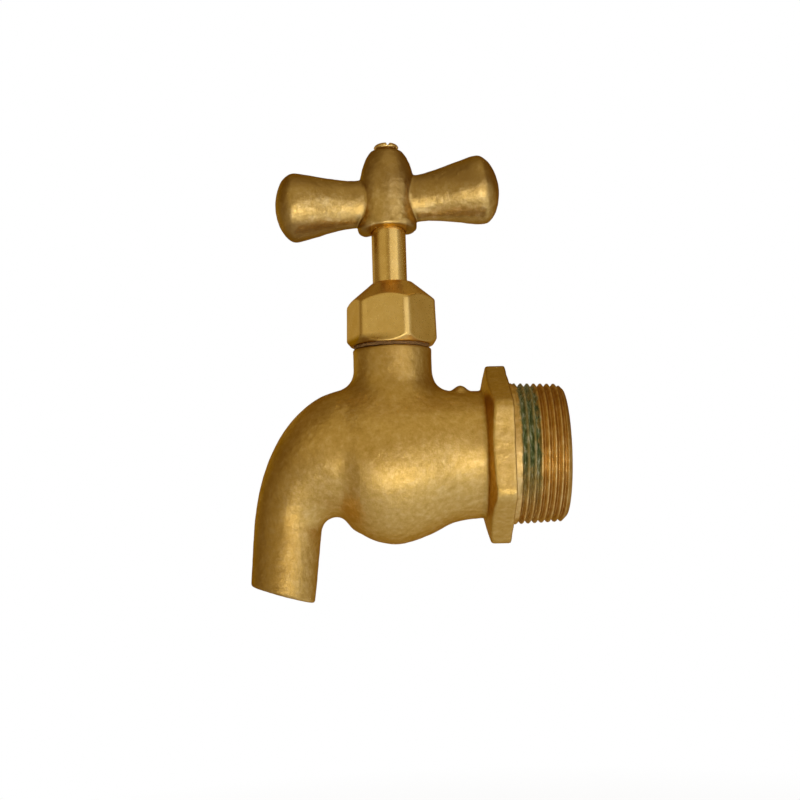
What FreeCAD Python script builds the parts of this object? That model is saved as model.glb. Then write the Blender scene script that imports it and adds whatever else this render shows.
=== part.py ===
"""Bib tap with a cross-bar handle, built as its separate pieces.

Millimetres, +Z up. The origin is the centre of the inlet thread where it leaves the hexagon
flange. +X runs along the inlet, out of the tap and into the pipe. The spout is on the -X side,
and the spindle stands on the vertical line x = STEM_X. The valve is modelled closed.
"""
import FreeCAD, Part

import math
import os

V = FreeCAD.Vector
UP = V(0, 0, 1)
OUT = V(1, 0, 0)

# Fits
RUNNING_GAP = 0.05
BORE_GAP = 0.08
OVERSHOOT = 1.0
SWEEP_TOLERANCE = 0.01

# Inlet and flange
THREAD_DIAMETER = 33.25
THREAD_LENGTH = 13.0
THREAD_CHAMFER = 1.4
INLET_BORE_DIAMETER = 25.0
FLANGE_ACROSS_FLATS = 37.0
FLANGE_THICKNESS = 4.5
FLANGE_CORNER_CUT = 0.45
FLANGE_CONE = 1.4

# Casting
STEM_X = -26.55
TUBE_RADIUS = 15.0
TUBE_LENGTH = 7.5
TUBE_TOP_RISE = 0.1
TUBE_BOTTOM_DROP = 0.3
GLOBE_TOP_Z = 15.5
GLOBE_BOTTOM_Z = -20.4
GLOBE_WALL = 3.0
NECK_RADIUS = 9.3
NECK_TOP_Z = 25.6
NECK_FILLET = 4.0
NECK_SADDLE_RADIUS = 14.5
NECK_SADDLE_REACH = 14.2

# Spout
ELBOW_SETBACK = 10.45
ELBOW_DROP = 20.0
CROTCH_SETBACK = 3.6
CROTCH_LIFT = 2.6
CROTCH_RADIUS = 3.6
ELBOW_REACH = 23.0
ELBOW_RISE = 36.0
ELBOW_STEPS = 4
SPOUT_STEPS = 3
SPOUT_LEAN = 5.6
SPOUT_DROP = 14.0
MOUTH_RADIUS = 7.5
MOUTH_SLOPE = 17.0
MOUTH_WALL = 2.3
ELBOW_WALL = 2.6

# Valve seat and chambers
SEAT_Z = -0.6
SEAT_HEIGHT = 1.9
SEAT_RADIUS = 6.4
ORIFICE_RADIUS = 4.6
BRIDGE_THICKNESS = 3.5
CHAMBER_RADIUS = 8.5
CHAMBER_TOP_Z = 12.0
CHAMBER_WALL = 4.5
SPOUT_BORE_START = 7.0

# Bonnet
BONNET_ACROSS_FLATS = 19.0
BONNET_TURN = -13.1
BONNET_HEXAGON_HEIGHT = 9.9
BONNET_CONE_HEIGHT = 5.3
BONNET_TOP_RADIUS = 4.7
BONNET_CORNER_CUT = 1.1
SPIGOT_DIAMETER = 15.0
SPIGOT_LENGTH = 11.3
GASKET_THICKNESS = 0.7
GASKET_INSET = 0.4
GUIDE_LENGTH = 2.5
SEAL_BORE_DIAMETER = 10.2
THREAD_BORE_LENGTH = 11.0

# Spindle
STEM_RADIUS = 4.1
SPINDLE_THREAD_RADIUS = 5.55
SPINDLE_THREAD_LENGTH = 8.8
SPINDLE_FOOT_RADIUS = 5.3
SPINDLE_FOOT_LENGTH = 7.6
SEAL_LAND_LENGTH = 12.6
RING_SECTION = 1.4
RING_GROOVE_WIDTH = 1.7
RING_SPACING = 3.3
RING_TOP_LAND = 1.8
SQUARE_SIZE = 5.6
SQUARE_LENGTH = 14.0

# Jumper valve
JUMPER_RADIUS = 6.6
JUMPER_THICKNESS = 1.9
JUMPER_STEM_RADIUS = 2.0
JUMPER_STEM_LENGTH = 7.0
JUMPER_STUD_RADIUS = 1.25
WASHER_RADIUS = 6.2
WASHER_THICKNESS = 2.9
NUT_ACROSS_FLATS = 5.5
NUT_HEIGHT = 2.0
STUD_TAIL = 0.5

# Handle
STEM_SHOWN = 12.9
ARM_HEIGHT = 6.8
INLET_ARM_RISE = 6.55
SPOUT_ARM_RISE = -2.25
ARM_ROOT_RADIUS = 5.65
ARM_NECK = 9.0
ARM_FLARE = 9.0
ARM_END_RADIUS = 8.35
ARM_FLARE_LENGTH = 22.2
ARM_DOME = 4.7
DOME_SHOULDER = 54.0
HUB_RADIUS = 6.7
HUB_BARREL_HEIGHT = 9.6
HUB_DOME_HEIGHT = 11.84
HUB_EDGE = 0.8
STEM_SOCKET = 1.6
RIM_REACH = 0.3
HUB_FILLET = 1.0
SCREW_HEAD_RADIUS = 3.1
SCREW_HEAD_HEIGHT = 2.2
SCREW_HEAD_EDGE = 0.9
SCREW_RADIUS = 2.0
SCREW_LENGTH = 12.0
SCREW_SLOT = 0.9
SCREW_SLOT_DEPTH = 0.9
SCREW_SLOT_TURN = 12.0

# Levels and radii that follow from the sizes above
ELBOW_CENTRE = V(STEM_X - ELBOW_SETBACK, 0, -ELBOW_DROP)
CROTCH = ELBOW_CENTRE + V(-CROTCH_SETBACK, 0, CROTCH_LIFT)
BONNET_FOOT_Z = NECK_TOP_Z + GASKET_THICKNESS
BONNET_SHOULDER_Z = BONNET_FOOT_Z + BONNET_HEXAGON_HEIGHT
BONNET_TOP_Z = BONNET_SHOULDER_Z + BONNET_CONE_HEIGHT
HUB_BOTTOM_Z = BONNET_TOP_Z + STEM_SHOWN
HUB_SHOULDER_Z = HUB_BOTTOM_Z + HUB_BARREL_HEIGHT
HUB_TOP_Z = HUB_SHOULDER_Z + HUB_DOME_HEIGHT
HANDLE_Z = HUB_BOTTOM_Z + ARM_HEIGHT
SPIGOT_BOTTOM_Z = BONNET_FOOT_Z - SPIGOT_LENGTH
WASHER_BOTTOM_Z = SEAT_Z + RUNNING_GAP
JUMPER_BOTTOM_Z = WASHER_BOTTOM_Z + WASHER_THICKNESS
JUMPER_TOP_Z = JUMPER_BOTTOM_Z + JUMPER_THICKNESS
FOOT_BOTTOM_Z = JUMPER_TOP_Z + RUNNING_GAP
SPINDLE_THREAD_Z = FOOT_BOTTOM_Z + SPINDLE_FOOT_LENGTH
SEAL_LAND_Z = SPINDLE_THREAD_Z + SPINDLE_THREAD_LENGTH
STEM_Z = SEAL_LAND_Z + SEAL_LAND_LENGTH
SEAL_BORE_RADIUS = SEAL_BORE_DIAMETER / 2
SEAL_LAND_RADIUS = SEAL_BORE_RADIUS - BORE_GAP
THREAD_BORE_RADIUS = SPINDLE_THREAD_RADIUS + BORE_GAP
CHAMBER_FLOOR_Z = SEAT_Z - SEAT_HEIGHT
BRIDGE_BOTTOM_Z = CHAMBER_FLOOR_Z - BRIDGE_THICKNESS
NECK_BORE_RADIUS = SPIGOT_DIAMETER / 2 + RUNNING_GAP
BOWL_Z = (GLOBE_TOP_Z + GLOBE_BOTTOM_Z) / 2
BOWL_RADIUS = (GLOBE_TOP_Z - GLOBE_BOTTOM_Z) / 2 - GLOBE_WALL
SQUARE_Z = HUB_BOTTOM_Z + STEM_SOCKET
SCREW_SEAT_Z = HUB_TOP_Z - SCREW_HEAD_HEIGHT


def at_stem(z):
    return V(STEM_X, 0, z)


def upright(radius, low, high):
    return Part.makeCylinder(radius, high - low, at_stem(low), UP)


def upright_cone(low_radius, high_radius, low, high):
    return Part.makeCone(low_radius, high_radius, high - low, at_stem(low), UP)


def along_inlet(radius, start, end):
    return Part.makeCylinder(radius, end - start, V(start, 0, 0), OUT)


def join(shapes):
    return shapes[0].fuse(shapes[1:]).removeSplitter()


def hexagon(across_flats, centre, axis, first_corner, length):
    """Hexagonal prism whose first corner points along first_corner, square to axis."""
    corner = V(first_corner).normalize() * (across_flats / math.sqrt(3))
    turns = [FreeCAD.Rotation(axis, 60 * step) for step in range(7)]
    outline = Part.makePolygon([centre + turn.multVec(corner) for turn in turns])
    return Part.Face(outline).extrude(V(axis).normalize() * length)


def section_circle(centre, normal, radius):
    circle = Part.Circle(centre, normal, radius)
    circle.XAxis = V(0, 1, 0)
    return Part.Wire(circle.toShape())


def swept(sections, last_way):
    """Smooth solid through circles, each given as its centre, normal and radius."""
    route = Part.BSplineCurve()
    route.interpolate(
        Points=[centre for centre, normal, radius in sections],
        InitialTangent=sections[0][1],
        FinalTangent=last_way,
    )
    shell = Part.BRepOffsetAPI.MakePipeShell(Part.Wire(route.toShape()))
    shell.setBiNormalMode(V(0, 1, 0))
    shell.setTolerance(SWEEP_TOLERANCE, SWEEP_TOLERANCE, SWEEP_TOLERANCE)
    for centre, normal, radius in sections:
        shell.add(section_circle(centre, normal, radius), False, False)
    shell.build()
    shell.makeSolid()
    return shell.shape()


def trunk_section(x, top, bottom):
    return V(x, 0, (top + bottom) / 2), V(-1, 0, 0), (top - bottom) / 2


def elbow_line(turn):
    """Direction of a section line that leaves the crotch, and its length to the outer curve."""
    angle = math.radians(turn)
    line = V(-math.sin(angle), 0, math.cos(angle))
    start = CROTCH - ELBOW_CENTRE
    square = (line.x / ELBOW_REACH) ** 2 + (line.z / ELBOW_RISE) ** 2
    cross = start.x * line.x / ELBOW_REACH ** 2 + start.z * line.z / ELBOW_RISE ** 2
    rest = (start.x / ELBOW_REACH) ** 2 + (start.z / ELBOW_RISE) ** 2 - 1
    return line, (math.sqrt(cross ** 2 - square * rest) - cross) / square


def elbow_turns():
    return [90.0 * step / ELBOW_STEPS for step in range(ELBOW_STEPS + 1)]


def elbow_normal(turn):
    angle = math.radians(turn)
    return V(-math.cos(angle), 0, -math.sin(angle))


def spout_axis():
    return elbow_normal(90 - SPOUT_LEAN)


def elbow_section(turn):
    line, length = elbow_line(turn)
    centre = CROTCH + line * ((CROTCH_RADIUS + length) / 2)
    return centre, elbow_normal(turn), (length - CROTCH_RADIUS) / 2


def elbow_bore_section(turn):
    line, length = elbow_line(turn)
    radius = SPOUT_BORE_START + (MOUTH_RADIUS - MOUTH_WALL - SPOUT_BORE_START) * turn / 90
    return CROTCH + line * (length - ELBOW_WALL - radius), elbow_normal(turn), radius


def straight_sections(start, end_radius, length):
    """Sections of the straight spout below the elbow, the last one in the plane of the mouth."""
    centre, normal, radius = start
    sections = []
    for step in range(1, SPOUT_STEPS + 1):
        share = step / SPOUT_STEPS
        place = centre + spout_axis() * (length * share)
        sections.append((place, spout_axis(), radius + (end_radius - radius) * share))
    sections[-1] = (place, elbow_normal(90 - MOUTH_SLOPE), end_radius)
    return sections


def body_form():
    """Outer form of the casting from the flange through the globe and elbow to the spout."""
    bend = -TUBE_LENGTH - FLANGE_THICKNESS
    sections = [
        trunk_section(-FLANGE_THICKNESS / 2, TUBE_RADIUS, -TUBE_RADIUS),
        trunk_section(-TUBE_LENGTH, TUBE_RADIUS, -TUBE_RADIUS),
        trunk_section(bend, TUBE_RADIUS + TUBE_TOP_RISE, -TUBE_RADIUS - TUBE_BOTTOM_DROP),
        trunk_section(STEM_X, GLOBE_TOP_Z, GLOBE_BOTTOM_Z),
    ]
    sections += [elbow_section(turn) for turn in elbow_turns()]
    sections += straight_sections(sections[-1], MOUTH_RADIUS, SPOUT_DROP)
    return swept(sections, spout_axis())


def spout_bore():
    """Water way of the spout, a steady wall inside the outer curve of the elbow."""
    first = elbow_bore_section(0)
    sections = [trunk_section(STEM_X, first[0].z + first[2], first[0].z - first[2])]
    sections += [elbow_bore_section(turn) for turn in elbow_turns()]
    mouth_bore = MOUTH_RADIUS - MOUTH_WALL
    sections += straight_sections(sections[-1], mouth_bore, SPOUT_DROP + OVERSHOOT)
    return swept(sections, spout_axis())


def edges_at(shape, test):
    return [edge for edge in shape.Edges if test(edge)]


def neck_form():
    """Neck with its concave foot, on a saddle that lies inside the body."""
    saddle = along_inlet(NECK_SADDLE_RADIUS, STEM_X - NECK_SADDLE_REACH, STEM_X + NECK_SADDLE_REACH)
    span = 2 * NECK_SADDLE_REACH
    upper = Part.makeBox(span, span, span, V(STEM_X - span / 2, -span / 2, 0))
    form = saddle.common(upper).fuse(upright(NECK_RADIUS, 0, NECK_TOP_Z))
    seam = edges_at(form, lambda edge: is_neck_seam(edge.BoundBox))
    return form.makeFillet(NECK_FILLET, seam)


def is_neck_seam(box):
    within = box.XMin > STEM_X - NECK_RADIUS - OVERSHOOT and box.XMax < STEM_X + NECK_RADIUS + OVERSHOOT
    return within and box.ZMax < NECK_SADDLE_RADIUS + OVERSHOOT and box.ZMin > 0


def flange():
    """Hexagon for the spanner, with its corners turned off and a conical back."""
    start = V(-FLANGE_THICKNESS - FLANGE_CONE, 0, 0)
    prism = hexagon(FLANGE_ACROSS_FLATS, start, OUT, UP, FLANGE_THICKNESS + FLANGE_CONE)
    radius = FLANGE_ACROSS_FLATS / math.sqrt(3) - FLANGE_CORNER_CUT
    turned = along_inlet(radius, -FLANGE_THICKNESS, 0)
    rims = edges_at(turned, lambda edge: edge.BoundBox.XLength < FLANGE_CORNER_CUT)
    back = Part.makeCone(TUBE_RADIUS, radius - FLANGE_CORNER_CUT, FLANGE_CONE, start, OUT)
    return prism.common(turned.makeChamfer(FLANGE_CORNER_CUT, rims).fuse(back))


def inlet_shank():
    """Plain cylinder at the major diameter of the inlet thread, with its lead-in chamfer."""
    shank = along_inlet(THREAD_DIAMETER / 2, 0, THREAD_LENGTH)
    rim = edges_at(shank, lambda edge: edge.BoundBox.XMin > THREAD_LENGTH - FLANGE_CORNER_CUT)
    return shank.makeChamfer(THREAD_CHAMFER, rim)


def inlet_way():
    """Water way in: the bore, and the passage that dives under the bridge to the orifice."""
    bore_radius = INLET_BORE_DIAMETER / 2
    bore_end = STEM_X + CHAMBER_RADIUS + CHAMBER_WALL
    bore = along_inlet(bore_radius, bore_end, THREAD_LENGTH + OVERSHOOT)
    bowl = Part.makeSphere(BOWL_RADIUS, at_stem(BOWL_Z))
    passage = along_inlet(bore_radius, STEM_X, bore_end + OVERSHOOT)
    span = 4 * BOWL_RADIUS
    corner = V(STEM_X - span / 2, -span / 2, BRIDGE_BOTTOM_Z)
    roof = Part.makeBox(span, span, span, corner)
    orifice = upright(ORIFICE_RADIUS, BRIDGE_BOTTOM_Z - OVERSHOOT, SEAT_Z + OVERSHOOT)
    return bore.fuse([bowl.fuse(passage).cut(roof), orifice])


def outlet_way():
    """Upper chamber round the seat, the neck bore above it and the way into the spout."""
    chamber = upright(CHAMBER_RADIUS, CHAMBER_FLOOR_Z, CHAMBER_TOP_Z)
    step = CHAMBER_RADIUS - NECK_BORE_RADIUS
    roof = upright_cone(CHAMBER_RADIUS, NECK_BORE_RADIUS, CHAMBER_TOP_Z, CHAMBER_TOP_Z + step)
    neck_bore = upright(NECK_BORE_RADIUS, CHAMBER_TOP_Z, NECK_TOP_Z + OVERSHOOT)
    seat = upright(SEAT_RADIUS, CHAMBER_FLOOR_Z - OVERSHOOT, SEAT_Z)
    return chamber.fuse([roof, neck_bore, spout_bore()]).cut(seat)


def tap_body():
    skin = body_form().fuse([neck_form(), flange(), inlet_shank()])
    return skin.cut(outlet_way()).cut(inlet_way())


def bonnet():
    """Screwed-in bonnet: hexagon, conical top, spigot, thread bore, seal bore and stem guide."""
    corner = BONNET_ACROSS_FLATS / math.sqrt(3)
    direction = FreeCAD.Rotation(UP, BONNET_TURN).multVec(OUT)
    height = BONNET_TOP_Z - BONNET_FOOT_Z
    prism = hexagon(BONNET_ACROSS_FLATS, at_stem(BONNET_FOOT_Z), UP, direction, height)
    foot_radius = corner - BONNET_CORNER_CUT
    foot = upright_cone(foot_radius, corner, BONNET_FOOT_Z, BONNET_FOOT_Z + BONNET_CORNER_CUT)
    middle = upright(corner, BONNET_FOOT_Z + BONNET_CORNER_CUT, BONNET_SHOULDER_Z)
    top = upright_cone(corner, BONNET_TOP_RADIUS, BONNET_SHOULDER_Z, BONNET_TOP_Z)
    head = prism.common(foot.fuse([middle, top]))
    spigot = upright(SPIGOT_DIAMETER / 2, SPIGOT_BOTTOM_Z, BONNET_FOOT_Z)
    guide = upright(STEM_RADIUS + BORE_GAP, SPIGOT_BOTTOM_Z, BONNET_TOP_Z)
    seal_bore = upright(SEAL_BORE_RADIUS, SPIGOT_BOTTOM_Z, BONNET_TOP_Z - GUIDE_LENGTH)
    thread_bore = upright(THREAD_BORE_RADIUS, SPIGOT_BOTTOM_Z, SPIGOT_BOTTOM_Z + THREAD_BORE_LENGTH)
    return join([head, spigot]).cut(guide.fuse([seal_bore, thread_bore]))


def bonnet_gasket():
    ring = upright(NECK_RADIUS - GASKET_INSET, NECK_TOP_Z, BONNET_FOOT_Z)
    return ring.cut(upright(NECK_BORE_RADIUS, NECK_TOP_Z, BONNET_FOOT_Z))


def ring_levels():
    """Heights of the two seal rings, counted down from the top of the seal land."""
    top = SEAL_LAND_Z + SEAL_LAND_LENGTH - RING_TOP_LAND - RING_GROOVE_WIDTH / 2
    return {"upper": top, "lower": top - RING_SPACING}


def seal_ring(level):
    middle = SEAL_BORE_RADIUS - RUNNING_GAP - RING_SECTION / 2
    return Part.makeTorus(middle, RING_SECTION / 2, at_stem(level), UP)


def ring_groove(level):
    low = level - RING_GROOVE_WIDTH / 2
    high = level + RING_GROOVE_WIDTH / 2
    floor = SEAL_BORE_RADIUS - 2 * RUNNING_GAP - RING_SECTION
    return upright(SEAL_BORE_RADIUS, low, high).cut(upright(floor, low, high))


def square_prism(size, low, high):
    half = size / 2
    square = Part.makeBox(size, size, high - low, V(-half, -half, low))
    square.translate(at_stem(0))
    return square


def spindle():
    """Foot, thread, seal land with two grooves, stem and the square that carries the handle."""
    slope = SEAL_LAND_RADIUS - STEM_RADIUS
    pieces = [
        upright(SPINDLE_FOOT_RADIUS, FOOT_BOTTOM_Z, SPINDLE_THREAD_Z),
        upright(SPINDLE_THREAD_RADIUS, SPINDLE_THREAD_Z, SEAL_LAND_Z),
        upright(SEAL_LAND_RADIUS, SEAL_LAND_Z, STEM_Z - slope),
        upright_cone(SEAL_LAND_RADIUS, STEM_RADIUS, STEM_Z - slope, STEM_Z),
        upright(STEM_RADIUS, STEM_Z, SQUARE_Z),
        square_prism(SQUARE_SIZE, SQUARE_Z, SQUARE_Z + SQUARE_LENGTH),
    ]
    socket_top = JUMPER_TOP_Z + JUMPER_STEM_LENGTH + OVERSHOOT
    cuts = [
        upright(JUMPER_STEM_RADIUS + BORE_GAP, FOOT_BOTTOM_Z, socket_top),
        upright(SCREW_RADIUS, SCREW_SEAT_Z - SCREW_LENGTH - OVERSHOOT, SQUARE_Z + SQUARE_LENGTH),
    ]
    cuts += [ring_groove(level) for level in ring_levels().values()]
    return join(pieces).cut(cuts[0].fuse(cuts[1:]))


def jumper_valve():
    """Loose valve plate with its guide stem above and the washer stud below."""
    plate = upright(JUMPER_RADIUS, JUMPER_BOTTOM_Z, JUMPER_TOP_Z)
    stem = upright(JUMPER_STEM_RADIUS, JUMPER_TOP_Z, JUMPER_TOP_Z + JUMPER_STEM_LENGTH)
    tail = WASHER_BOTTOM_Z - NUT_HEIGHT - STUD_TAIL
    stud = upright(JUMPER_STUD_RADIUS, tail, JUMPER_BOTTOM_Z)
    return join([plate, stem, stud])


def seat_washer():
    ring = upright(WASHER_RADIUS, WASHER_BOTTOM_Z, JUMPER_BOTTOM_Z)
    return ring.cut(upright(JUMPER_STUD_RADIUS, WASHER_BOTTOM_Z, JUMPER_BOTTOM_Z))


def washer_nut():
    low = WASHER_BOTTOM_Z - NUT_HEIGHT
    nut = hexagon(NUT_ACROSS_FLATS, at_stem(low), UP, OUT, NUT_HEIGHT)
    return nut.cut(upright(JUMPER_STUD_RADIUS, low, WASHER_BOTTOM_Z))


def revolved(corners, curve, origin, axis):
    """Solid of revolution of a closed outline made of one curve and straight lines."""
    edges = [curve.toShape()] + Part.makePolygon(corners).Edges
    face = Part.Face(Part.Wire(Part.sortEdges(edges)[0]))
    return face.revolve(origin, axis, 360)


def hub_form():
    """Egg-shaped hub: a cylinder with a rounded foot under half an ellipse."""
    middle = at_stem(HUB_SHOULDER_Z)
    crown = at_stem(HUB_TOP_Z)
    side = middle + V(HUB_RADIUS, 0, 0)
    dome = Part.ArcOfEllipse(Part.Ellipse(crown, side, middle), 0, math.pi / 2)
    foot = at_stem(HUB_BOTTOM_Z)
    hub = revolved([crown, foot, foot + V(HUB_RADIUS, 0, 0), side], dome, foot, UP)
    rim = edges_at(hub, lambda edge: edge.BoundBox.ZMax < HUB_BOTTOM_Z + RIM_REACH)
    return hub.makeFillet(HUB_EDGE, rim)


def dome_edges(start, radius, height):
    """Outline of a domed end on +X: a rounded shoulder, then a flatter cap that ends on the axis."""
    def oval(turn):
        angle = math.radians(turn)
        return V(start + height * math.sin(angle), 0, radius * math.cos(angle))

    shoulder = oval(DOME_SHOULDER)
    tip = V(start + height, 0, 0)
    depth = tip.x - shoulder.x
    cap_radius = (depth ** 2 + shoulder.z ** 2) / (2 * depth)
    half = math.asin(shoulder.z / cap_radius) / 2
    middle = V(tip.x - cap_radius * (1 - math.cos(half)), 0, cap_radius * math.sin(half))
    arcs = [Part.Arc(oval(0), oval(DOME_SHOULDER / 2), shoulder), Part.Arc(shoulder, middle, tip)]
    return [arc.toShape() for arc in arcs]


def arm_form():
    """One flared arm along +X from the hub's axis, with a domed end."""
    neck = V(ARM_NECK, 0, ARM_ROOT_RADIUS)
    rim = V(ARM_FLARE_LENGTH, 0, ARM_END_RADIUS)
    slope = math.radians(ARM_FLARE)
    flare = Part.BSplineCurve()
    flare.interpolate(
        Points=[neck, rim],
        InitialTangent=OUT,
        FinalTangent=V(math.cos(slope), 0, math.sin(slope)),
    )
    tip = V(ARM_FLARE_LENGTH + ARM_DOME, 0, 0)
    lines = Part.makePolygon([tip, V(0, 0, 0), V(0, 0, ARM_ROOT_RADIUS), neck]).Edges
    edges = lines + [flare.toShape()] + dome_edges(ARM_FLARE_LENGTH, ARM_END_RADIUS, ARM_DOME)
    face = Part.Face(Part.Wire(Part.sortEdges(edges)[0]))
    return face.revolve(V(0, 0, 0), OUT, 360)


def placed_arm(turn, rise):
    arm = arm_form()
    arm.rotate(V(0, 0, 0), V(0, 1, 0), -rise)
    arm.rotate(V(0, 0, 0), UP, turn)
    arm.translate(at_stem(HANDLE_Z))
    return arm


def is_arm_seam(box):
    reach = HUB_RADIUS + RIM_REACH
    near = box.XMin > STEM_X - reach and box.XMax < STEM_X + reach
    inside = box.ZMin > HUB_BOTTOM_Z + RIM_REACH and box.ZMax < HANDLE_Z + ARM_ROOT_RADIUS + OVERSHOOT
    return near and inside and box.ZLength > ARM_ROOT_RADIUS


def handle():
    """Cross-bar handle: hub and two arms in one casting, with a square socket and a screw seat."""
    form = hub_form().fuse([placed_arm(0, INLET_ARM_RISE), placed_arm(180, SPOUT_ARM_RISE)])
    form = form.makeFillet(HUB_FILLET, edges_at(form, lambda edge: is_arm_seam(edge.BoundBox)))
    cuts = [
        upright(STEM_RADIUS + BORE_GAP, HUB_BOTTOM_Z - OVERSHOOT, SQUARE_Z),
        square_prism(SQUARE_SIZE + RUNNING_GAP, SQUARE_Z, SQUARE_Z + SQUARE_LENGTH + RUNNING_GAP),
        upright(SCREW_RADIUS + BORE_GAP, SQUARE_Z, HUB_TOP_Z),
        upright(SCREW_HEAD_RADIUS + BORE_GAP, SCREW_SEAT_Z, HUB_TOP_Z + OVERSHOOT),
    ]
    return form.cut(cuts[0].fuse(cuts[1:]))


def handle_screw():
    """Slotted cheese-head screw whose rounded head finishes the hub."""
    head = upright(SCREW_HEAD_RADIUS, SCREW_SEAT_Z, HUB_TOP_Z)
    rim = edges_at(head, lambda edge: edge.BoundBox.ZMin > HUB_TOP_Z - RIM_REACH)
    head = head.makeFillet(SCREW_HEAD_EDGE, rim)
    shank = upright(SCREW_RADIUS, SCREW_SEAT_Z - SCREW_LENGTH, SCREW_SEAT_Z)
    width = 4 * SCREW_HEAD_RADIUS
    low = HUB_TOP_Z - SCREW_SLOT_DEPTH
    slot = Part.makeBox(SCREW_SLOT, width, width, V(-SCREW_SLOT / 2, -width / 2, low))
    slot.rotate(V(0, 0, 0), UP, SCREW_SLOT_TURN)
    slot.translate(at_stem(0))
    return head.fuse(shank).cut(slot)


PIECES = {
    "tap_body": tap_body,
    "bonnet": bonnet,
    "bonnet_gasket": bonnet_gasket,
    "spindle": spindle,
    "upper_seal_ring": lambda: seal_ring(ring_levels()["upper"]),
    "lower_seal_ring": lambda: seal_ring(ring_levels()["lower"]),
    "handle": handle,
    "handle_screw": handle_screw,
    "jumper_valve": jumper_valve,
    "seat_washer": seat_washer,
    "washer_nut": washer_nut,
}


def main():
    os.makedirs("parts", exist_ok=True)
    for name, make in PIECES.items():
        shape = make()
        shape.exportStep("parts/" + name + ".step")
        print(name, shape.isValid(), len(shape.Solids), round(shape.Volume, 1))


if __name__ == "__main__":
    main()
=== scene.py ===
"""Brass bib tap: surfaces, materials, camera and light, built round the solid model.

The casting, the bonnet, the handle and its screw are distance fields in millimetres, meshed by
surface_net(), and the inlet thread is a tube of rings. Their sizes are those of the solid model
but for small changes at the hub, the arms and the bonnet. Soft edges, cut thread, casting skin,
tarnished skin and wear are added here, with painted shade in hollows, round the bonnet's joint
and on the handle, and a painted pool of light on the floor that shows only in reflections.
"""
import itertools
import math

import bpy
import numpy as np
from mathutils import Matrix, Vector


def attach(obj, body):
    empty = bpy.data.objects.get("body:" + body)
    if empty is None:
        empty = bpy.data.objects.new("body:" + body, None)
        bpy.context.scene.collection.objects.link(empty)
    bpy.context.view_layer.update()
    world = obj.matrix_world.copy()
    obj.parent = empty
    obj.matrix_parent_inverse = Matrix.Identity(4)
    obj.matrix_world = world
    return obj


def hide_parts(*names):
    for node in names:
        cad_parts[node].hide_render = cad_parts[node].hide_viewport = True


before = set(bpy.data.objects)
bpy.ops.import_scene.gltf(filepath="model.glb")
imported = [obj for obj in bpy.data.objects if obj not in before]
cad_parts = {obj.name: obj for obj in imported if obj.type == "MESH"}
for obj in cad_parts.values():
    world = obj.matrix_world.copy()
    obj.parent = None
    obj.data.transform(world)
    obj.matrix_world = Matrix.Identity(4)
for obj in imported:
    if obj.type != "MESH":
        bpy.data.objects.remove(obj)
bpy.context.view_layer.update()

MM = 0.001
STEM_X = -26.55

# Casting
SKIN_STEP = 0.42
SKIN_EDGE = 0.5
TUBE_RADIUS = 15.0
TUBE_END_X = -1.0
TOP_LINE = [
    (-40.6, 15.56), (-36.6, 16.0), (-26.5, 15.6),
    (-12.0, 15.1), (-7.5, TUBE_RADIUS), (2.0, TUBE_RADIUS),
]
BOTTOM_LINE = [
    (-40.6, -13.8), (-37.0, -16.3), (-33.0, -18.9), (-26.3, -20.4),
    (-19.5, -18.7), (-13.0, -15.8), (-8.5, -TUBE_RADIUS), (2.0, -TUBE_RADIUS),
]
CROTCH_X, CROTCH_Z, CROTCH_RADIUS = -40.6, -17.4, 3.6
ELBOW_X, ELBOW_Z = -37.0, -20.0
ELBOW_REACH, ELBOW_RISE = 23.0, 36.0
SPOUT_LEAN = 5.6
SEAM_WIDTH = 6.0
SEAM_DEPTH = 3.0
MOUTH_X, MOUTH_Z = -53.44, -31.33
MOUTH_RADIUS = 7.5
# The taper of the spout runs on beyond the mouth to this share of its length
TAPER_END = 1.2
MOUTH_SLOPE = 17.0
MOUTH_EDGE = 0.8
NECK_RADIUS = 9.3
NECK_TOP_Z = 25.6
NECK_EDGE = 0.4
NECK_BLEND = 5.2
NECK_BORE_RADIUS = 7.55
FLANGE_ACROSS_FLATS = 37.0
FLANGE_THICKNESS = 4.5
FLANGE_TURNED_RADIUS = 20.91
FLANGE_CONE = 1.4
FLANGE_EDGE = 0.5
FLANGE_BLEND = 0.7
BORE_RADIUS = 12.5
# Small lump that the mould left beside the neck
CAST_LUMP = (-10.9, -3.2, 14.6)
CAST_LUMP_RADIUS = 1.5
CAST_LUMP_BLEND = 1.6
# Ripples of the cast skin: size of a bump, height and seed
CASTING_RIPPLES = [(7.0, 0.08, 1), (2.4, 0.04, 2), (1.0, 0.03, 3)]

# Inner chambers of the casting
SEAT_Z = -0.6
SEAT_HEIGHT = 1.9
SEAT_RADIUS = 6.4
ORIFICE_RADIUS = 4.6
SEAT_EDGE = 0.3
BRIDGE_BOTTOM_Z = -6.0
BRIDGE_EDGE = 0.6
CHAMBER_RADIUS = 8.5
CHAMBER_TOP_Z = 12.0
CHAMBER_WALL = 4.5
BOWL_Z = -2.45
BOWL_RADIUS = 14.95
PASSAGE_END_X = -10.0
WATER_EDGE = 0.4
# Wall of the spout: thickness at one place, growth per mm towards the inlet, least and most
SPOUT_WALL_X, SPOUT_WALL = -52.0, 2.6
SPOUT_WALL_GROWTH = 0.25
SPOUT_WALL_LEAST, SPOUT_WALL_MOST = 2.3, 8.0
SPOUT_WAY_EDGE = 1.0

# Inlet thread
THREAD_START = 1.5
THREAD_END = 13.0
THREAD_PITCH = 1.55
THREAD_DEPTH = 0.85
THREAD_RADIUS = 16.6
THREAD_TAPER = 0.035
THREAD_CHAMFER = 1.5
THREAD_RUN_IN = 0.8
# A crest is the ridge's height times a gain, less what is cut off it
CREST_GAIN, CREST_CUT = 1.25, 0.12
THREAD_TURN_POINTS, THREAD_ROWS, BORE_ROWS = 360, 150, 12
BORE_CHAMFER = 0.5

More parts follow.
